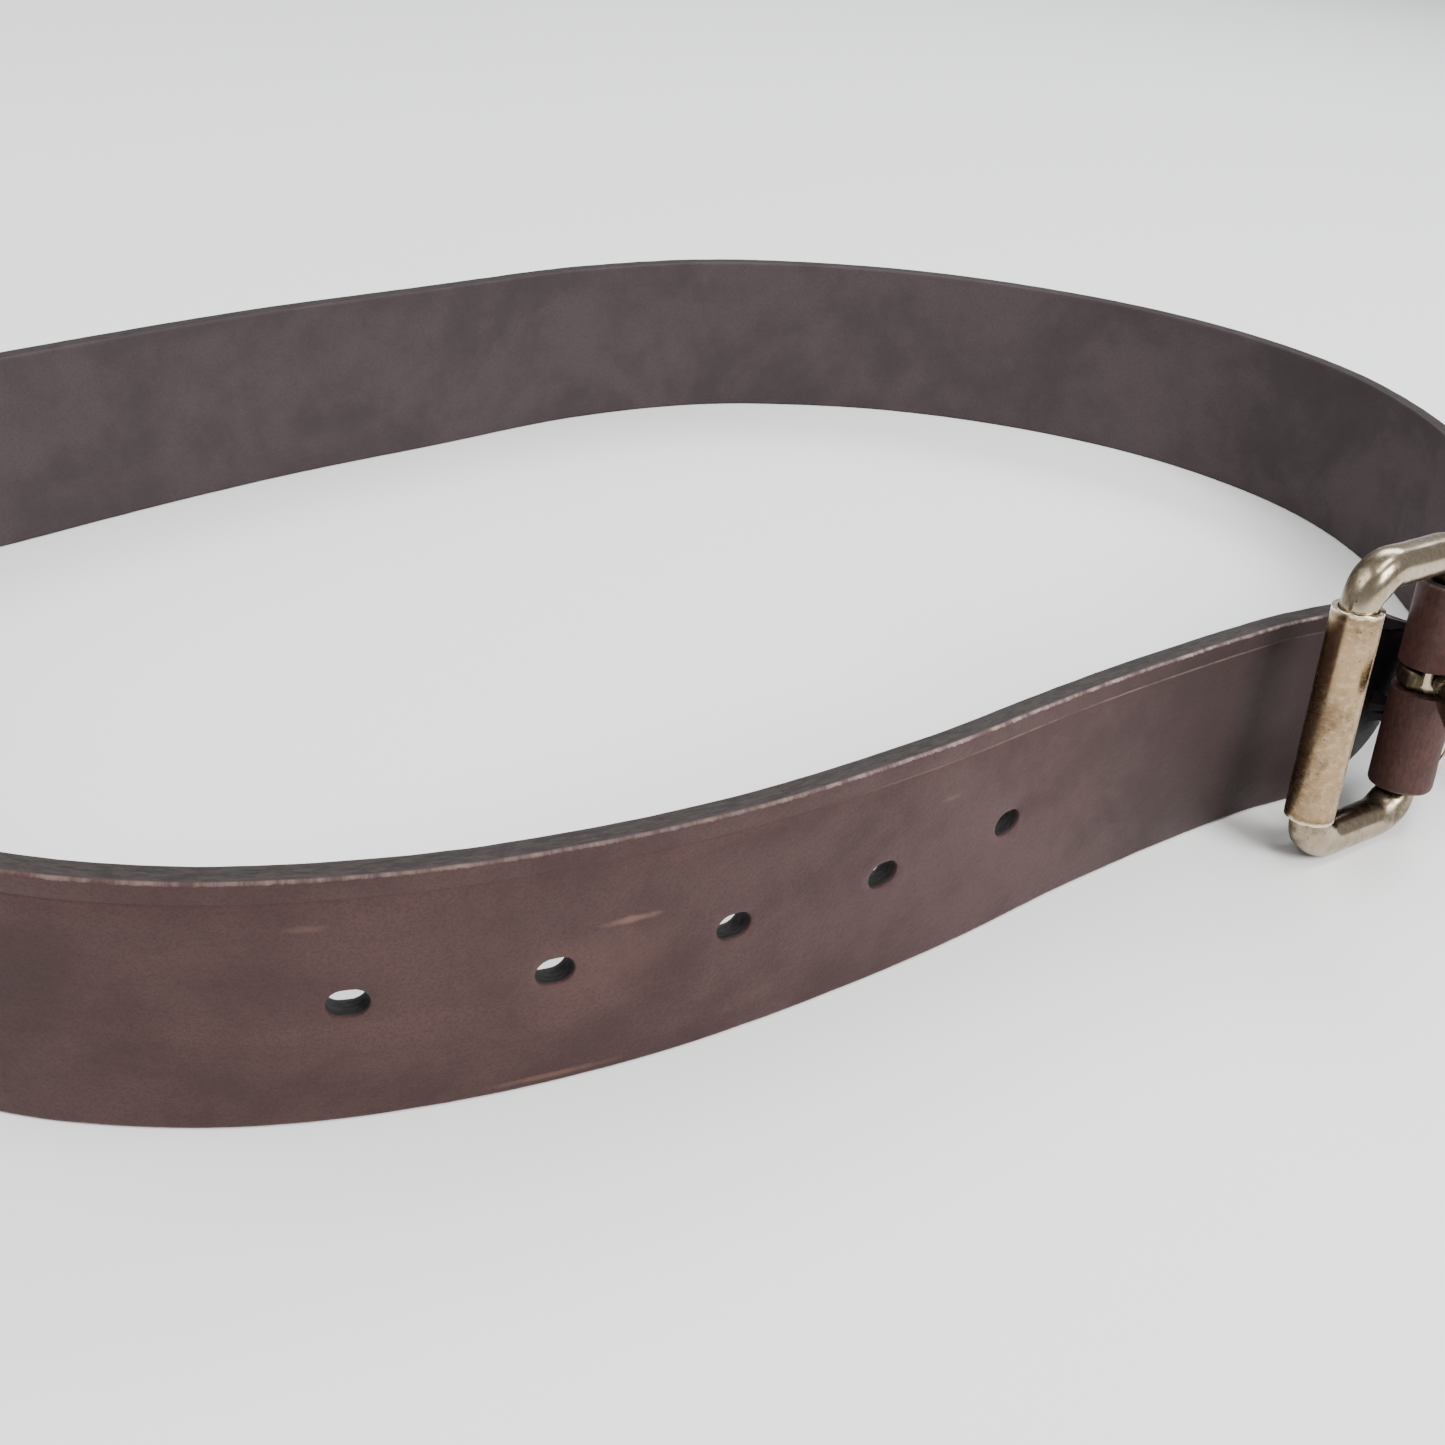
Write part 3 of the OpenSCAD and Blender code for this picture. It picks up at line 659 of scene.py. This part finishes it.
screw_axes = chape_along, bar_up, -chape_in
posts, screws = bmesh.new(), bmesh.new()
slots, slot_lines = bmesh.new(), []
for number, (at, side) in enumerate((at, side) for at in screw_at for side in (-1, 1)):
    seat_out, seat_in = screw_seat(at, "out"), screw_seat(at, "in")
    middle_at = place_in_chape(at, 0, side * screw_side)
    one = bmesh.new()
    barrel = [(0, 0.1 * MM), (thread_r, 0.1 * MM), (thread_r, -seat_in - seat_out + 0.5 * MM),
              (post_r - 0.15 * MM, -seat_in - seat_out + 0.3 * MM), (post_r, -seat_in - seat_out + 0.5 * MM),
              (post_r, 0)]
    turned(one, barrel + head_profile(0.12 * MM))
    into_place(one, chape_along, -bar_up, chape_in, middle_at + seat_in * chape_in)
    done = mesh_object("post", one)
    posts.from_mesh(done.data)
    bpy.data.objects.remove(done)

    one = bmesh.new()
    shank = [(0, -seat_in - seat_out + 0.6 * MM), (thread_r - 0.35 * MM, -seat_in - seat_out + 0.6 * MM),
             (thread_r - 0.05 * MM, -seat_in - seat_out + 0.9 * MM), (thread_r - 0.05 * MM, 0)]
    turned(one, shank + head_profile(0.05 * MM))
    into_place(one, *screw_axes, middle_at - seat_out * chape_in)
    done = mesh_object("screw", one)
    screws.from_mesh(done.data)
    bpy.data.objects.remove(done)

    angle = math.radians((12, 65, -28, 40)[number])
    made = bmesh.ops.create_cube(slots, size=1)["verts"]
    bmesh.ops.scale(slots, verts=made, vec=(12 * MM, 1.2 * MM, 1.2 * MM))
    across_slot = math.cos(angle) * bar_up - math.sin(angle) * chape_along
    along_slot = math.cos(angle) * chape_along + math.sin(angle) * bar_up
    top_at = middle_at - (seat_out + head_t) * chape_in
    place = np.vstack([np.column_stack([along_slot, across_slot, -chape_in, top_at]), (0, 0, 0, 1)])
    bmesh.ops.transform(slots, matrix=Matrix(place.tolist()), verts=made)
    slot_lines.append((middle_at - seat_out * chape_in, across_slot))

posts = mesh_object("screw_posts_brass", posts)
screws = mesh_object("screws_brass", screws)
slots = mesh_object("slots", slots)
cut = screws.modifiers.new("slot", "BOOLEAN")
cut.object, cut.solver, cut.operation = slots, "EXACT", "DIFFERENCE"
settle_modifiers(screws)
bpy.data.objects.remove(slots)

# Old brass: bright where it is handled, brown and olive patina where it isn't, fine pitting
brass_patina, given, gives = new_group(
    "brass_patina", {"Vector": ("Vector", None), "Bright": ("Color", (0.62, 0.50, 0.36, 1)),
                     "Patina": ("Color", (0.20, 0.14, 0.08, 1)), "Age": ("Float", 0.5)},
    {"Colour": "Color", "Rough": "Float", "Height": "Float"})
vector = given["Vector"]
broad = speckle(brass_patina, vector, 95.0, 5.0, 0.6, 0.5)
fine = speckle(brass_patina, vector, 620.0, 5.0, 0.7)
spots = maths(brass_patina, "ADD", maths(brass_patina, "MULTIPLY", broad, 0.7),
              maths(brass_patina, "MULTIPLY", fine, 0.3))
age = maths(brass_patina, "ADD", spots, maths(brass_patina, "SUBTRACT", given["Age"], 0.5))
dark = between(brass_patina, age, 0.40, 0.72)
colour = tint(brass_patina, dark, given["Bright"], given["Patina"])
rub = speckle(brass_patina, stretched(brass_patina, vector, (900, 900, 120)), 1.0, 3.0, 0.6)
colour = tint(brass_patina, between(brass_patina, rub, 0.45, 0.7, 0, 0.2), colour, (0.70, 0.60, 0.46, 1))
pits = between(brass_patina, speckle(brass_patina, vector, 1500.0, 2.0, 0.5), 0.66, 0.74)
colour = tint(brass_patina, maths(brass_patina, "MULTIPLY", pits, 0.7), colour, (0.07, 0.05, 0.035, 1))
brass_patina.links.new(colour, gives["Colour"])
rough = maths(brass_patina, "ADD", between(brass_patina, dark, 0, 1, 0.16, 0.42),
              maths(brass_patina, "MULTIPLY", rub, 0.1))
brass_patina.links.new(rough, gives["Rough"])
pitted = maths(brass_patina, "SUBTRACT", maths(brass_patina, "MULTIPLY", fine, 0.5), pits)
brass_patina.links.new(pitted, gives["Height"])


def brass(name, bright, patina, age):
    """A brass material on the piece's own coordinates, brighter where its polish_and_shade attribute is high
    and darker where it is low: handling polish, and on the prong's hook painted shade.
    """
    material, tree, shader = new_material(name, 0.35, metallic=1.0)
    where = make_node(tree, "ShaderNodeTexCoord").outputs["Object"]
    polish_and_shade = make_node(tree, "ShaderNodeAttribute", attribute_name="polish_and_shade").outputs["Fac"]
    age = maths(tree, "SUBTRACT", age, maths(tree, "MULTIPLY", polish_and_shade, 0.16))
    old = use_group(tree, brass_patina, {"Vector": where, "Bright": bright, "Patina": patina, "Age": age})
    tree.links.new(old["Colour"], shader["Base Color"])
    tree.links.new(old["Rough"], shader["Roughness"])
    bump = make_node(tree, "ShaderNodeBump",
                     {"Height": old["Height"], "Strength": 0.3, "Distance": 0.06 * MM})
    tree.links.new(bump.outputs[0], shader["Normal"])
    return material


def set_polish_and_shade(piece, values):
    polish_and_shade = piece.data.attributes.new("polish_and_shade", "FLOAT", "POINT")
    polish_and_shade.data.foreach_set("value", np.asarray(values, np.float32))


screw_brass = brass("screw_brass", (0.58, 0.47, 0.33, 1), (0.17, 0.115, 0.07, 1), 0.52)
for piece, node in ((posts, "screw_posts"), (screws, "screws")):
    smooth_faces(piece, 40)
    set_polish_and_shade(piece, np.full(len(piece.data.vertices), 0.3))
    piece.data.materials.clear()
    piece.data.materials.append(screw_brass)
    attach(piece, "root")
    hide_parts(node)


# Grime lies along the floor of each slot
co, polish_and_shade = points_of(screws), np.full(len(screws.data.vertices), 0.3)
for seat, across_slot in slot_lines:
    away = co - seat
    height = away @ -chape_in
    in_slot = (abs(away @ across_slot) < 0.7 * MM) & (height > 0.5 * MM) & (height < 0.75 * MM)
    polish_and_shade[in_slot & (np.linalg.norm(away, axis=1) < head_r + MM)] = -3
screws.data.attributes["polish_and_shade"].data.foreach_set("value", polish_and_shade.astype(np.float32))


# ---- Buckle frame --------------------------------------------------------------------------
# One rounded-rectangle casting in brass: round bars with fuller corners, cast in one with the
# heel bar that the leather folds round. Antiqued, and rubbed bright on its outer faces.

# The lower corners and bar fill out upwards by this much, so that they stay clear of the table
foot_lift = 0.36 * MM
buckle_axes = to_roller, outwards, bar_up


def frame_rings():
    """Rings along the frame's closed middle line: round bars, full corners, short bars a bit flat."""
    long, short = frame_h / 2 - corner_r, frame_d / 2 - corner_r
    line, heading, fullness = [], [], []
    for quarter, (x, z) in enumerate(((short, long), (-short, long), (-short, -long), (short, -long))):
        on_long_first = quarter % 2 == 0
        for step in range(19):
            a = math.radians(quarter * 90 + step * 5)
            line.append((x + corner_r * math.cos(a), z + corner_r * math.sin(a)))
            heading.append((-math.sin(a), math.cos(a)))
            from_long = step * 5 if on_long_first else 90 - step * 5
            swelling = ease(np.array((from_long - 8) / 40)) - 0.25 * ease(np.array((from_long - 50) / 40))
            fullness.append(float(swelling))
        straight = 24 if not on_long_first else 8
        span = 2 * (long if not on_long_first else short)
        for step in range(1, straight):
            end = line[-1] if step == 1 else end
            gone = span * step / straight
            line.append((end[0] - math.sin(a) * gone, end[1] + math.cos(a) * gone))
            heading.append((-math.sin(a), math.cos(a)))
            away = abs(step / straight - 0.5) * 2
            fullness.append(0 if not on_long_first else 0.6 + 0.15 * away ** 2)
    rings = []
    around = np.radians(np.arange(0, 360, 9))
    for (x, z), (hx, hz), full in zip(line, heading, fullness):
        wide, deep = bar_r - 0.03 * MM + 0.42 * MM * full, bar_r - 0.03 * MM + 0.32 * MM * full
        z += foot_lift * full * (z < 0)
        ring = []
        for b in around:
            square = (abs(math.cos(b)) ** 2.3 + abs(math.sin(b)) ** 2.3) ** (-1 / 2.3) if full > 0 else 1
            reach = 1 + (square - 1) * min(1, full)
            over, outside = wide * reach * math.cos(b), deep * reach * math.sin(b)
            point = np.array((frame_d / 2 + x + over * hz, outside, z - over * hx))
            lump = noise.noise(Vector(point * 220)) + 0.5 * noise.noise(Vector(point * 600))
            swell = 1 + 0.012 * lump * min(1, 3 * full)
            ring.append((frame_d / 2 + x + over * hz * swell, outside * swell, z - over * hx * swell))
        rings.append(ring)
    return np.array(rings + [rings[0]])


rings = frame_rings()
bm = bmesh.new()
skin(bm, rings)
into_place(bm, *buckle_axes, heel)
buckle = mesh_object("buckle_frame_brass", bm)
smooth_faces(buckle, 60)

# Handling keeps the bars' outer faces bright, and the corners stay olive-dark
local = np.column_stack([(points_of(buckle) - heel) @ d for d in buckle_axes])
from_ends = frame_h / 2 - abs(local[:, 2])
from_sides = np.minimum(abs(local[:, 0]), abs(frame_d - local[:, 0]))
at_corner = ease(1.3 - np.maximum(from_ends, from_sides) / (7 * MM))
set_polish_and_shade(buckle, 1.1 * ease((local[:, 1] / bar_r + 1) / 1.4) - 0.8 * at_corner)
antique_brass = brass("antique_brass", (0.36, 0.29, 0.205, 1), (0.080, 0.064, 0.034, 1), 0.58)
buckle.data.materials.append(antique_brass)
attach(buckle, "buckle")
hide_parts("buckle_frame")


# ---- Roller --------------------------------------------------------------------------------
# Sheet brass rolled into a sleeve on the frame's front bar, free to turn, with its butt seam
# open by a hair. Its ends are dinged and rubbed bright, and its face is a warmer tan.

roller_r, bore_r, roller_len = 4.1 * MM, 3.19 * MM, 38 * MM
seam, seam_turn = 0.25 * MM, math.radians(106)
sheet_t, sheet_r = roller_r - bore_r, (roller_r + bore_r) / 2
girth = math.tau * sheet_r - seam
rows = np.array([0, 0.2, 0.6, 1.2, 2, 3.5, 6, 9, 12, 15.5]) * MM
rows = np.concatenate([rows - roller_len / 2, [0], (roller_len / 2 - rows)[::-1]])
roller = slab("roller_brass", np.linspace(0, girth, 61), rows, sheet_t, 0.16 * MM)
flat = keep_blank(roller)
s, v, t = flat.T
end_wave = np.array([noise.noise(Vector((a * 900, 5 * b, 1))) + noise.noise(Vector((a * 2100, 3 * b,
                                                                                    4))) * 0.6
                     for a, b in zip(s, np.sign(v))])
v = v + np.sign(v) * (0.13 * MM * end_wave - 0.08 * MM) * (abs(v) > roller_len / 2 - 0.7 * MM)
dents = np.array([noise.noise(Vector((a * 260, b * 130, 9))) for a, b in flat[:, :2]])
curl = seam_turn + (seam / 2 + s) / sheet_r
out_r = sheet_r + t + 0.05 * MM * dents * (t > 0)
bm = bmesh.new()
bm.from_mesh(roller.data)
for vert, x, y, z in zip(bm.verts, frame_d + out_r * np.cos(curl), out_r * np.sin(curl), v):
    vert.co = (x, y, z)
bmesh.ops.recalc_face_normals(bm, faces=bm.faces)
into_place(bm, *buckle_axes, heel)
bm.to_mesh(roller.data)
bm.free()
smooth_faces(roller, 40)

roller_brass, tree, shader = new_material("roller_brass", 0.4, metallic=1.0)
where = make_node(tree, "ShaderNodeAttribute", attribute_name="blank").outputs["Vector"]
parts = make_node(tree, "ShaderNodeSeparateXYZ", {0: where}).outputs
old = use_group(tree, brass_patina, {"Vector": where, "Bright": (0.32, 0.220, 0.125, 1),
                                     "Patina": (0.150, 0.098, 0.054, 1), "Age": 0.48})
end_at = maths(tree, "SUBTRACT", roller_len / 2, maths(tree, "ABSOLUTE", parts[1]))
ragged = maths(tree, "SUBTRACT", end_at,
               maths(tree, "MULTIPLY", speckle(tree, where, 700.0, 5.0, 0.75), 1.6 * MM))
bright_end = between(tree, ragged, 0.0, -0.7 * MM)
colour = tint(tree, maths(tree, "MULTIPLY", bright_end, 0.75), old["Colour"], (0.86, 0.78, 0.62, 1))
grime = maths(tree, "MULTIPLY", between(tree, ragged, 1.2 * MM, 0.2 * MM),
              between(tree, ragged, -0.3 * MM, 0.2 * MM))
colour = tint(tree, maths(tree, "MULTIPLY", grime, 0.45), colour, (0.12, 0.08, 0.04, 1))
tree.links.new(colour, shader["Base Color"])
tree.links.new(old["Rough"], shader["Roughness"])
bump = make_node(tree, "ShaderNodeBump", {"Height": old["Height"], "Strength": 0.3, "Distance": 0.06 * MM})
tree.links.new(bump.outputs[0], shader["Normal"])
roller.data.materials.append(roller_brass)
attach(roller, "roller")
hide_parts("roller")


# ---- Prong ---------------------------------------------------------------------------------
# Cast brass, hooked round the heel bar through the slot in the fold: a narrow curl, shoulders,
# and a stout body that tapers to a blunt end. It stands open, pointing away from the frame.

hook_w, prong_open = 3.4 * MM, math.radians(42)
curl_in, curl_out = bar_r + 0.06 * MM, 5 * MM


def prong_rings():
    """Rings along the prong, in its own axes: X along it, Y out of the frame, Z up the heel bar."""
    line = []
    for degrees in range(-22, -271, -8):
        a = math.radians(degrees)
        free = float(ease(np.array((-22 - degrees) / 24)))
        mid = (curl_in + curl_out) / 2
        line.append((mid * math.cos(a), mid * math.sin(a), math.cos(a), math.sin(a),
                     (curl_out - curl_in) / 2 * (0.62 + 0.38 * free), hook_w / 2 * (0.8 + 0.2 * free)))
    top = ([0, 3, 8, 18, 27.6, 28.6], [5, 4.95, 5.2, 4.7, 3.75, 3.3])
    wide = ([0, 5.2, 6.8, 8.6, 12, 26.6, 28.6], [1.7, 1.7, 2.35, 3.05, 3.1, 2.25, 2.0])
    blunt_end = 28.6 - np.array([2, 1.5, 1.1, 0.75, 0.45, 0.22, 0.08, 0])
    for x in np.concatenate([np.arange(0.6, 10, 0.6), np.arange(10, 26.5, 1.1), blunt_end]):
        under = max(0.35, math.sqrt(max(3.3 ** 2 - x * x, 0)))
        over = np.interp(x, *top)
        blunt = math.sqrt(max(1 - max(0, (x - 26.6) / 2) ** 2, 0.02))
        line.append((x * MM, ((over + under) / 2 - 0.35 * (1 - blunt)) * MM, 0, 1,
                     (over - under) / 2 * blunt * MM, np.interp(x, *wide) * blunt * MM))
    rings = []
    for x, y, dx, dy, half_deep, half_wide in line:
        ring = []
        for b in np.radians(np.arange(0, 360, 10)):
            square = (abs(math.cos(b)) ** 2.7 + abs(math.sin(b)) ** 2.7) ** (-1 / 2.7)
            deep = half_deep * square * math.cos(b)
            ring.append((x + dx * deep, y + dy * deep, half_wide * square * math.sin(b)))
        rings.append(ring)
    return np.array(rings)


bm = bmesh.new()
skin(bm, prong_rings())
c, s = math.cos(prong_open), math.sin(prong_open)
into_place(bm, c * to_roller + s * outwards, c * outwards - s * to_roller, bar_up, heel + 1.7 * MM * bar_up)
prong = mesh_object("prong_brass", bm)
smooth_faces(prong, 50)
# The hook is darkened as painted shade inside the fold, and the body is bright from handling
set_polish_and_shade(prong,
           2.6 * ease(((points_of(prong) - heel) @ (c * to_roller + s * outwards) - 4 * MM) / (4 * MM)) - 1.4)
prong.data.materials.append(antique_brass)
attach(prong, "prong")
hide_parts("prong")


# ---- Camera, floor and light ---------------------------------------------------------------
# A plain pale table under soft studio light, seen from a low standing view over the near edge,
# with the camera held a few degrees out of level.

pitch, roll = math.radians(31.34), math.radians(7.24)
ahead = np.array((0, math.cos(pitch), -math.sin(pitch)))
level_up = np.array((0, math.sin(pitch), math.cos(pitch)))
right = math.cos(roll) * np.array((1, 0, 0)) + math.sin(roll) * level_up
upright = -math.sin(roll) * np.array((1, 0, 0)) + math.cos(roll) * level_up
lens = bpy.data.cameras.new("camera")
lens.lens, lens.sensor_width, lens.clip_start = 40.2, 36, 0.01
camera = bpy.data.objects.new("camera", lens)
bpy.context.scene.collection.objects.link(camera)
eye = np.array((0, 0, 152.8 * MM)) + bench
camera.matrix_world = Matrix(np.vstack([np.column_stack([right, upright, -ahead, eye]),
                                        (0, 0, 0, 1)]).tolist())
bpy.context.scene.camera = camera

bm = bmesh.new()
bmesh.ops.create_grid(bm, x_segments=1, y_segments=1, size=4)
floor = mesh_object("floor", bm)
floor_finish, tree, shader = new_material("pale_table", 0.7, specular=0.2)
shader["Base Color"].default_value = (0.93, 0.93, 0.92, 1)
floor.data.materials.append(floor_finish)


def soft_light(name, place, aim, size, power, colour=(1, 1, 1)):
    light = bpy.data.lights.new(name, "AREA")
    light.shape, light.size, light.size_y, light.energy, light.color = "RECTANGLE", *size, power, colour
    lamp = bpy.data.objects.new(name, light)
    lamp.location = place
    lamp.rotation_euler = (Vector(place) - Vector(aim)).to_track_quat("Z", "Y").to_euler()
    bpy.context.scene.collection.objects.link(lamp)
    return lamp


soft_light("key_softbox", (0.9, -0.8, 1.0), (0.05, 0, 0), (0.7, 0.7), 30)
soft_light("window", (0.5, 1.1, 1.2), (0.05, 0, 0), (1.2, 0.5), 18, (0.90, 0.95, 1.0))
soft_light("overhead", (0.25, -0.15, 1.5), (0.1, 0, 0), (1.0, 0.35), 12)
soft_light("side_fill", (-1.3, -0.2, 1.2), (0, 0, 0), (1.4, 1.0), 16)
world = bpy.data.worlds.new("studio")
world.use_nodes = True
world.node_tree.nodes["Background"].inputs[0].default_value = (1, 1, 1, 1)
world.node_tree.nodes["Background"].inputs[1].default_value = 0.45
bpy.context.scene.world = world
